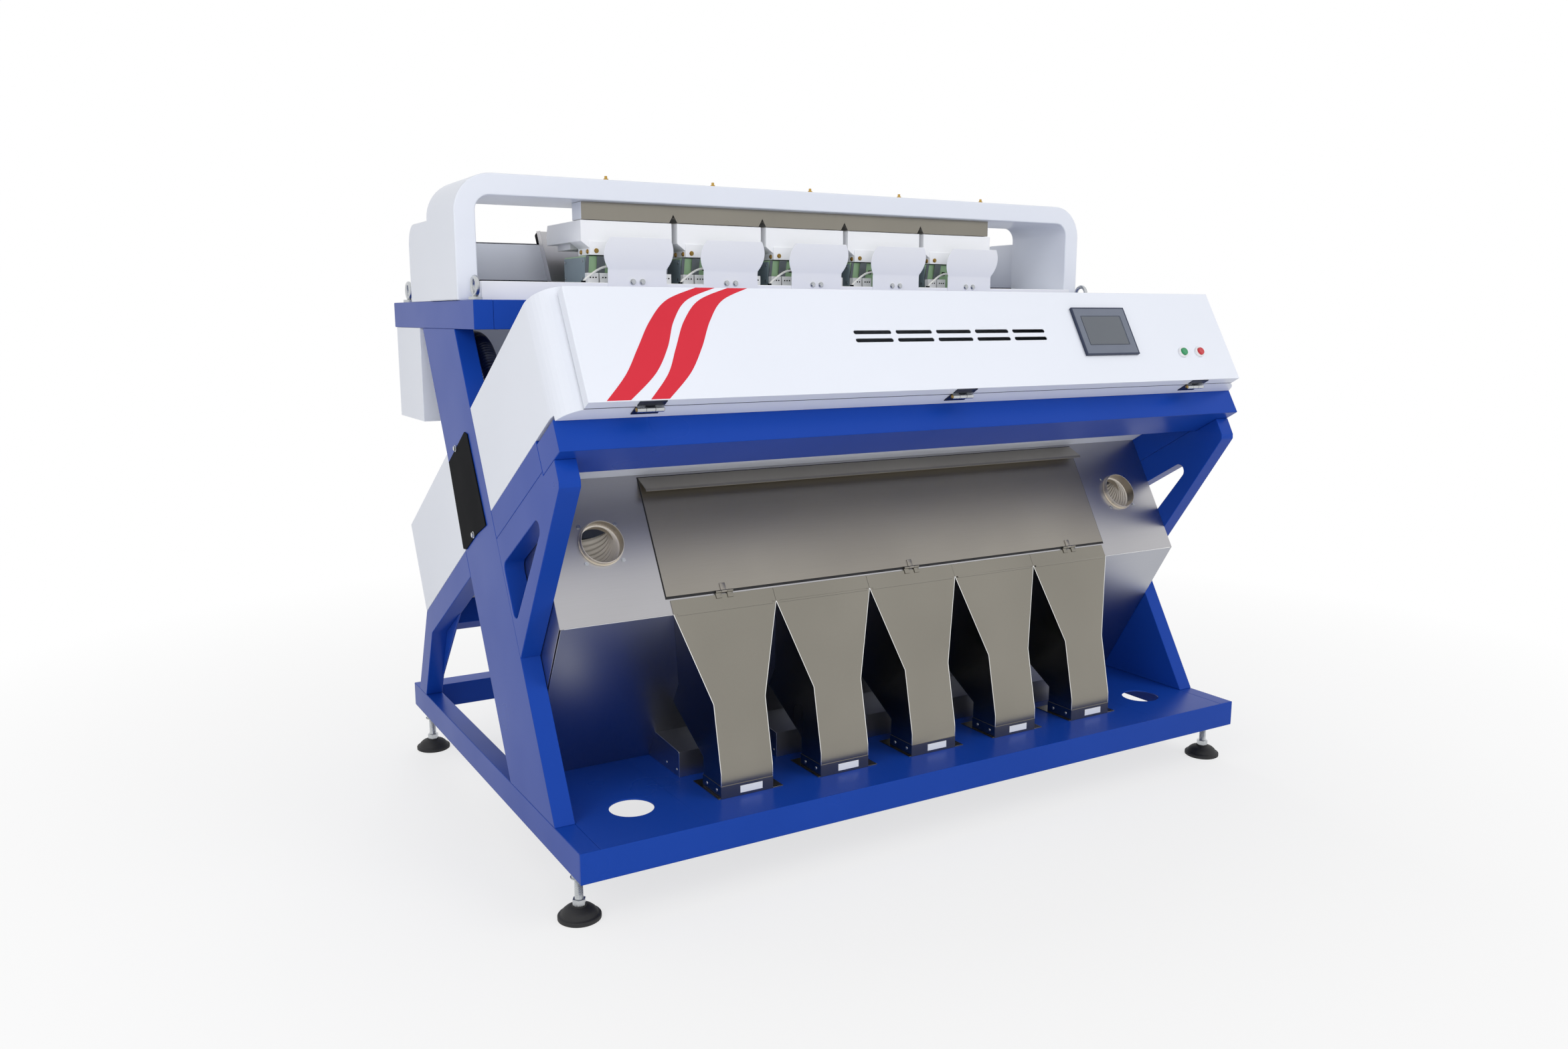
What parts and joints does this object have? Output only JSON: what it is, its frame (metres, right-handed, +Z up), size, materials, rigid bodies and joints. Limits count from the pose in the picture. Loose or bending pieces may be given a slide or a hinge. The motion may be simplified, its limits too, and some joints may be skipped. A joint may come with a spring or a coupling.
{
  "type": "optical colour sorter",
  "caption": "Chute-type optical colour sorter on a leaning X frame, with vibrating feeders, slanted chutes, a hinged front box with screen and buttons, and stainless spouts.",
  "frame": {"origin": "on the floor, under the middle of the machine's overall box", "axes": "+X to the right as seen from the front, +Y to the back, +Z up; the front door and screen face -Y"},
  "size_m": [2.15, 1.46, 1.716],
  "materials": {
    "frame_blue": "glossy",
    "panel_white": "satin powder coat",
    "stainless": "satin",
    "zinc": "zinc plated",
    "black_rubber": "matt",
    "black_paint": "satin",
    "black_plastic": "matt",
    "screen_glass": "glossy",
    "white_plastic": "glossy",
    "green_plastic": "glossy",
    "red_plastic": "glossy",
    "green_paint": "satin",
    "white_cable": "matt",
    "grey_hose": "matt",
    "aluminium": "anodised",
    "lamp_white": "frosted",
    "window_glass": "clear",
    "blue_hose": "matt"
  },
  "bodies": {
    "frame": {"base_deck": "frame_blue", "deck_plate": "frame_blue", "side_sills": "frame_blue", "main_legs": "frame_blue", "cross_legs": "frame_blue", "front_crossbeam": "frame_blue", "rear_crossbeams": "frame_blue", "top_side_beams": "frame_blue", "top_crossbeams": "frame_blue", "gusset_plates": "frame_blue", "leveling_pads": "black_rubber", "leveling_studs": "zinc", "lifting_eyes": "zinc", "leg_cover_plates": "black_paint", "front_box_shell": "panel_white", "fixed_hinge_leaves": "zinc", "rear_box_shell": "panel_white", "rear_service_panel": "panel_white", "electrical_cabinet": "panel_white", "feeder_hood": "panel_white", "rear_hood": "panel_white", "feeder_platform": "panel_white", "feed_hopper": "stainless", "feeder_magnets": "green_paint", "feeder_guards": "panel_white", "feeder_leads": "white_cable", "chutes": "stainless", "chute_bars": "zinc", "front_panel": "stainless", "port_collars": "stainless", "port_hoses": "grey_hose", "hopper_floor": "stainless", "hopper_walls": "stainless", "front_spout_1": "stainless", "front_spout_2": "stainless", "front_spout_3": "stainless", "front_spout_4": "stainless", "front_spout_5": "stainless", "rear_spouts": "stainless", "ejector_manifold": "aluminium", "cameras": "aluminium", "lamps": "lamp_white", "windows": "window_glass", "air_hose": "blue_hose", "fasteners": "zinc"},
    "front_door": {"front_door": "panel_white", "door_hinge_leaves": "zinc", "touch_screen": "black_plastic", "screen_glass": "screen_glass", "button_collars": "white_plastic"},
    "green_button": {"green_button": "green_plastic"},
    "red_button": {"red_button": "red_plastic"},
    "inspection_door": {"inspection_door": "stainless"},
    "cabinet_flap": {"cabinet_flap": "panel_white"},
    "window_wipers": {"window_wipers": "black_rubber"},
    "feeder_pan_1": {"feeder_pan_1": "panel_white"},
    "feeder_pan_2": {"feeder_pan_2": "panel_white"},
    "feeder_pan_3": {"feeder_pan_3": "panel_white"},
    "feeder_pan_4": {"feeder_pan_4": "panel_white"},
    "feeder_pan_5": {"feeder_pan_5": "panel_white"}
  },
  "joints": [
    {"name": "front_door_hinge", "type": "hinge", "parent": "frame", "child": "front_door", "pos_m": [0, -0.69985, 1.15022], "axis": [1, 0, 0], "range_deg": [0, 95]},
    {"name": "green_button_press", "type": "slide", "parent": "front_door", "child": "green_button", "axis": [0, 0.866, -0.5], "range_m": [0, 0.004], "stiffness_N_per_m": 800, "springref_m": -0.003},
    {"name": "red_button_press", "type": "slide", "parent": "front_door", "child": "red_button", "axis": [0, 0.866, -0.5], "range_m": [0, 0.004], "stiffness_N_per_m": 800, "springref_m": -0.003},
    {"name": "inspection_door_hinge", "type": "hinge", "parent": "frame", "child": "inspection_door", "pos_m": [0, -0.49215, 0.67696], "axis": [1, 0, 0], "range_deg": [0, 100]},
    {"name": "cabinet_flap_hinge", "type": "hinge", "parent": "frame", "child": "cabinet_flap", "pos_m": [0, 0.722, 1.307], "axis": [1, 0, 0], "range_deg": [0, 90]},
    {"name": "wiper_slide", "type": "slide", "parent": "frame", "child": "window_wipers", "axis": [1, 0, 0], "range_m": [0, 1.42]},
    {"name": "feeder_pan_1_shake", "type": "slide", "parent": "frame", "child": "feeder_pan_1", "axis": [0, 1, 0], "range_m": [-0.0008, 0.0008], "stiffness_N_per_m": 60000},
    {"name": "feeder_pan_2_shake", "type": "slide", "parent": "frame", "child": "feeder_pan_2", "axis": [0, 1, 0], "range_m": [-0.0008, 0.0008], "stiffness_N_per_m": 60000},
    {"name": "feeder_pan_3_shake", "type": "slide", "parent": "frame", "child": "feeder_pan_3", "axis": [0, 1, 0], "range_m": [-0.0008, 0.0008], "stiffness_N_per_m": 60000},
    {"name": "feeder_pan_4_shake", "type": "slide", "parent": "frame", "child": "feeder_pan_4", "axis": [0, 1, 0], "range_m": [-0.0008, 0.0008], "stiffness_N_per_m": 60000},
    {"name": "feeder_pan_5_shake", "type": "slide", "parent": "frame", "child": "feeder_pan_5", "axis": [0, 1, 0], "range_m": [-0.0008, 0.0008], "stiffness_N_per_m": 60000}
  ]
}
